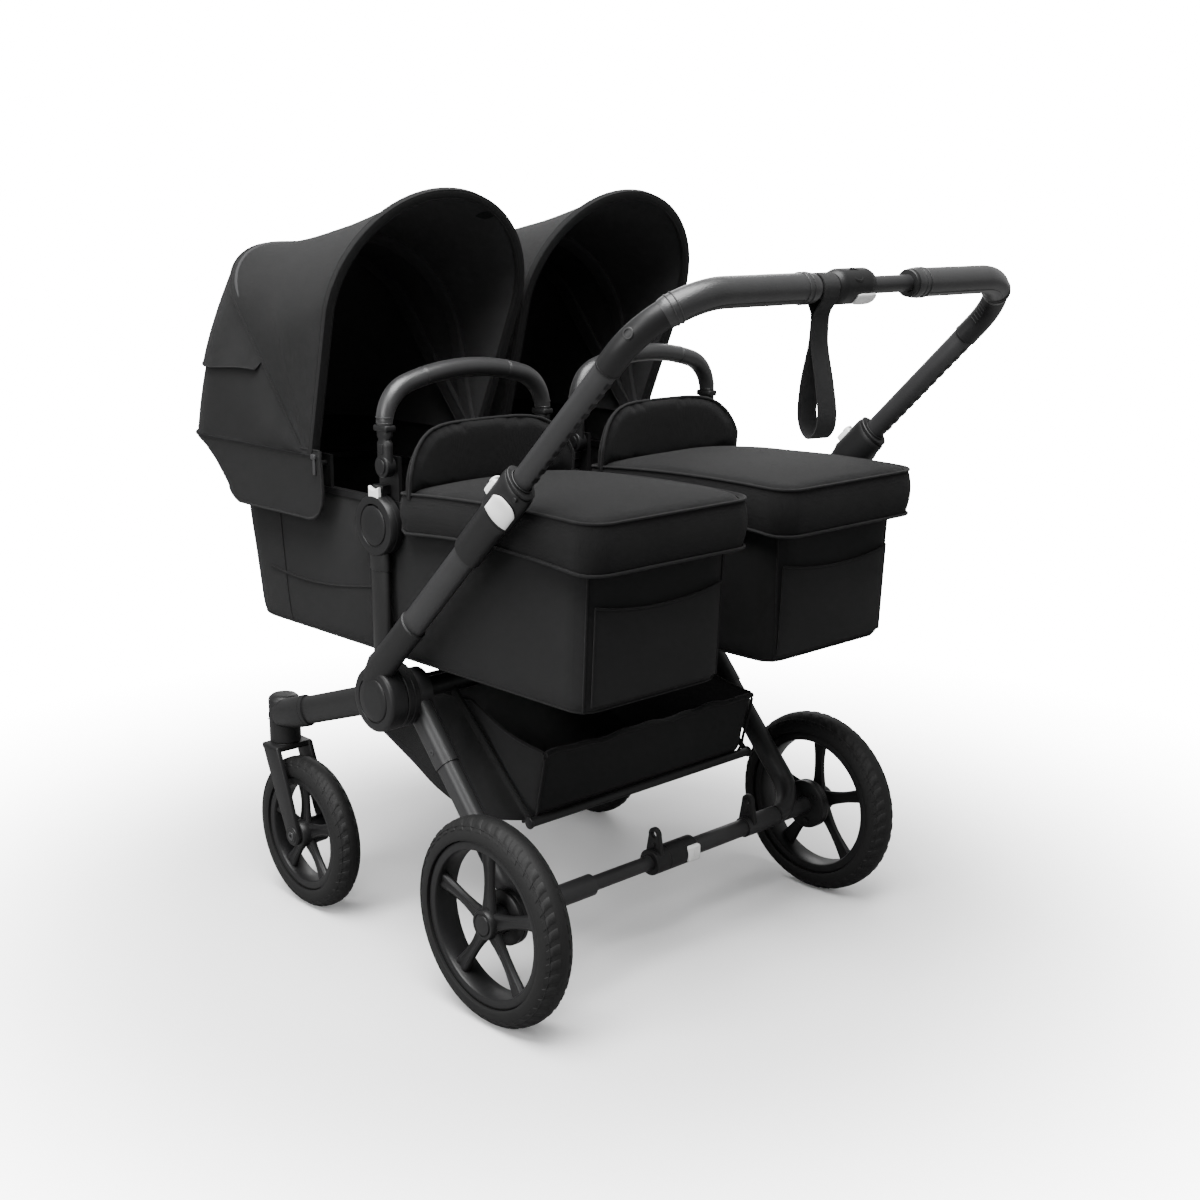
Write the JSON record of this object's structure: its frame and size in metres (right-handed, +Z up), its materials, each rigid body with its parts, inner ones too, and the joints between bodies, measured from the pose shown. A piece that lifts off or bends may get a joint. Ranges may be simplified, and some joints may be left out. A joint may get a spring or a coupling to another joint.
{
  "type": "twin pram",
  "caption": "Side-by-side double pram: folding chassis with swivel front wheels, telescopic handlebar, shopping basket and lift-off carrycots with folding canopies.",
  "frame": {"origin": "centre of the outline on the floor, under the main hinge's cross tube", "axes": "+X to the pusher's left, -Y forward, +Z up"},
  "size_m": [0.7448, 1.1636, 1.1278],
  "materials": {
    "satin_tube": "satin black powder coat",
    "black_plastic": "fine-grained moulded",
    "white_plastic": "smooth",
    "tyre": "matt foam-filled rubber",
    "rim_plastic": "satin",
    "black_leather": "fine grain, stitched",
    "webbing": "ribbed webbing",
    "canopy_fabric": "woven, water repellent",
    "cot_fabric": "woven",
    "basket_fabric": "woven and mesh",
    "mattress_cover": "quilted knit",
    "bow_wire": "satin"
  },
  "bodies": {
    "chassis": {"front_arms": "satin_tube", "hinge_housings": "black_plastic", "cot_posts": "satin_tube", "cot_clamps": "black_plastic", "cross_tube": "satin_tube", "swivel_housings": "black_plastic", "basket": "basket_fabric", "basket_frame": "satin_tube"},
    "left_outer_button": {"left_outer_button": "white_plastic"},
    "left_inner_button": {"left_inner_button": "white_plastic"},
    "right_inner_button": {"right_inner_button": "white_plastic"},
    "right_outer_button": {"right_outer_button": "white_plastic"},
    "rear_frame": {"rear_legs": "satin_tube", "axle_tubes": "satin_tube", "axle_connector": "black_plastic", "brake_drums": "black_plastic"},
    "axle_latch": {"axle_latch": "white_plastic"},
    "left_rear_wheel": {"left_rear_tyre": "tyre", "left_rear_rim": "rim_plastic"},
    "right_rear_wheel": {"right_rear_tyre": "tyre", "right_rear_rim": "rim_plastic"},
    "left_fork": {"left_fork": "black_plastic"},
    "right_fork": {"right_fork": "black_plastic"},
    "left_swivel_lock": {"left_swivel_lock": "white_plastic"},
    "right_swivel_lock": {"right_swivel_lock": "white_plastic"},
    "left_front_wheel": {"left_front_tyre": "tyre", "left_front_rim": "rim_plastic"},
    "right_front_wheel": {"right_front_tyre": "tyre", "right_front_rim": "rim_plastic"},
    "handle_base": {"handle_hubs": "black_plastic", "outer_tubes": "satin_tube", "height_collars": "black_plastic"},
    "left_height_lever": {"left_height_lever": "white_plastic"},
    "right_height_lever": {"right_height_lever": "white_plastic"},
    "left_fold_trigger": {"left_fold_trigger": "white_plastic"},
    "right_fold_trigger": {"right_fold_trigger": "white_plastic"},
    "handlebar": {"inner_tubes": "satin_tube", "handle_elbows": "black_plastic", "handle_grips": "black_leather", "handlebar_clamp": "black_plastic", "wrist_strap": "webbing"},
    "clamp_lever": {"clamp_lever": "white_plastic"},
    "left_cot": {"left_cot_shell": "cot_fabric", "left_cot_frame": "black_plastic", "left_mattress": "mattress_cover", "left_apron": "canopy_fabric", "left_rear_bow": "bow_wire", "left_canopy": "canopy_fabric"},
    "left_carry_handle": {"left_carry_handle": "black_leather"},
    "left_mid_bow": {"left_mid_bow": "bow_wire"},
    "left_front_bow": {"left_front_bow": "bow_wire"},
    "right_cot": {"right_cot_shell": "cot_fabric", "right_cot_frame": "black_plastic", "right_mattress": "mattress_cover", "right_apron": "canopy_fabric", "right_rear_bow": "bow_wire", "right_canopy": "canopy_fabric"},
    "right_carry_handle": {"right_carry_handle": "black_leather"},
    "right_mid_bow": {"right_mid_bow": "bow_wire"},
    "right_front_bow": {"right_front_bow": "bow_wire"}
  },
  "joints": [
    {"name": "handle_fold", "type": "hinge", "parent": "chassis", "child": "handle_base", "pos_m": [0.355, -0.0068, 0.418], "axis": [1, 0, 0], "range_deg": [0, 44]},
    {"name": "rear_frame_fold", "type": "hinge", "parent": "chassis", "child": "rear_frame", "pos_m": [0.3, -0.0068, 0.418], "axis": [1, 0, 0], "range_deg": [-29, 0]},
    {"name": "handle_height", "type": "slide", "parent": "handle_base", "child": "handlebar", "axis": [0, 0.7169, 0.6972], "range_m": [-0.15, 0.08]},
    {"name": "left_rear_wheel_spin", "type": "hinge", "parent": "rear_frame", "child": "left_rear_wheel", "pos_m": [0.3455, 0.2307, 0.1495], "axis": [1, 0, 0], "continuous": true},
    {"name": "right_rear_wheel_spin", "type": "hinge", "parent": "rear_frame", "child": "right_rear_wheel", "pos_m": [-0.3455, 0.2307, 0.1495], "axis": [1, 0, 0], "continuous": true},
    {"name": "left_swivel", "type": "hinge", "parent": "chassis", "child": "left_fork", "pos_m": [0.308, -0.3408, 0.3], "axis": [0, 0, 1], "continuous": true},
    {"name": "right_swivel", "type": "hinge", "parent": "chassis", "child": "right_fork", "pos_m": [-0.308, -0.3408, 0.3], "axis": [0, 0, 1], "continuous": true},
    {"name": "left_front_wheel_spin", "type": "hinge", "parent": "left_fork", "child": "left_front_wheel", "pos_m": [0.308, -0.2808, 0.124], "axis": [1, 0, 0], "continuous": true},
    {"name": "right_front_wheel_spin", "type": "hinge", "parent": "right_fork", "child": "right_front_wheel", "pos_m": [-0.308, -0.2808, 0.124], "axis": [1, 0, 0], "continuous": true},
    {"name": "left_swivel_lock_slide", "type": "slide", "parent": "chassis", "child": "left_swivel_lock", "axis": [0, -1, 0], "range_m": [0, 0.006]},
    {"name": "left_height_lever_flip", "type": "hinge", "parent": "handle_base", "child": "left_height_lever", "pos_m": [0.3709, 0.26867, 0.72842], "axis": [0, 0.6972, -0.7169], "range_deg": [0, 45]},
    {"name": "left_fold_trigger_pull", "type": "slide", "parent": "handle_base", "child": "left_fold_trigger", "axis": [0, 0.7169, 0.6972], "range_m": [0, 0.006], "stiffness_N_per_m": 800},
    {"name": "left_outer_button_press", "type": "slide", "parent": "chassis", "child": "left_outer_button", "axis": [0, 0, -1], "range_m": [0, 0.004], "stiffness_N_per_m": 800},
    {"name": "left_inner_button_press", "type": "slide", "parent": "chassis", "child": "left_inner_button", "axis": [0, 0, -1], "range_m": [0, 0.004], "stiffness_N_per_m": 800},
    {"name": "left_cot_lift", "type": "slide", "parent": "chassis", "child": "left_cot", "axis": [0, 0, 1], "range_m": [0, 0.3]},
    {"name": "left_carry_handle_tilt", "type": "hinge", "parent": "left_cot", "child": "left_carry_handle", "pos_m": [0.181, -0.0148, 0.75], "axis": [1, 0, 0], "range_deg": [0, 25]},
    {"name": "left_canopy_fold", "type": "hinge", "parent": "left_cot", "child": "left_front_bow", "pos_m": [0.181, -0.1858, 0.735], "axis": [1, 0, 0], "range_deg": [0, 50], "deforming": ["left_canopy"]},
    {"name": "left_mid_bow_fold", "type": "hinge", "parent": "left_cot", "child": "left_mid_bow", "pos_m": [0.181, -0.1858, 0.735], "axis": [1, 0, 0], "range_deg": [0, 17.5]},
    {"name": "right_swivel_lock_slide", "type": "slide", "parent": "chassis", "child": "right_swivel_lock", "axis": [0, -1, 0], "range_m": [0, 0.006]},
    {"name": "right_height_lever_flip", "type": "hinge", "parent": "handle_base", "child": "right_height_lever", "pos_m": [-0.3709, 0.26867, 0.72842], "axis": [0, -0.6972, 0.7169], "range_deg": [0, 45]},
    {"name": "right_fold_trigger_pull", "type": "slide", "parent": "handle_base", "child": "right_fold_trigger", "axis": [0, 0.7169, 0.6972], "range_m": [0, 0.006], "stiffness_N_per_m": 800},
    {"name": "right_outer_button_press", "type": "slide", "parent": "chassis", "child": "right_outer_button", "axis": [0, 0, -1], "range_m": [0, 0.004], "stiffness_N_per_m": 800},
    {"name": "right_inner_button_press", "type": "slide", "parent": "chassis", "child": "right_inner_button", "axis": [0, 0, -1], "range_m": [0, 0.004], "stiffness_N_per_m": 800},
    {"name": "right_cot_lift", "type": "slide", "parent": "chassis", "child": "right_cot", "axis": [0, 0, 1], "range_m": [0, 0.3]},
    {"name": "right_carry_handle_tilt", "type": "hinge", "parent": "right_cot", "child": "right_carry_handle", "pos_m": [-0.181, -0.0148, 0.75], "axis": [1, 0, 0], "range_deg": [0, 25]},
    {"name": "right_canopy_fold", "type": "hinge", "parent": "right_cot", "child": "right_front_bow", "pos_m": [-0.181, -0.1858, 0.735], "axis": [1, 0, 0], "range_deg": [0, 50], "deforming": ["right_canopy"]},
    {"name": "right_mid_bow_fold", "type": "hinge", "parent": "right_cot", "child": "right_mid_bow", "pos_m": [-0.181, -0.1858, 0.735], "axis": [1, 0, 0], "range_deg": [0, 17.5]},
    {"name": "axle_latch_pull", "type": "slide", "parent": "rear_frame", "child": "axle_latch", "axis": [0, 1, 0], "range_m": [0, 0.006], "stiffness_N_per_m": 800},
    {"name": "clamp_lever_squeeze", "type": "slide", "parent": "handlebar", "child": "clamp_lever", "axis": [0, -0.6972, 0.7169], "range_m": [0, 0.006], "stiffness_N_per_m": 800}
  ],
  "couplings": [
    {"joint": "rear_frame_fold", "follows": "handle_fold", "ratio": -0.65},
    {"joint": "left_mid_bow_fold", "follows": "left_canopy_fold", "ratio": 0.35},
    {"joint": "right_mid_bow_fold", "follows": "right_canopy_fold", "ratio": 0.35}
  ]
}
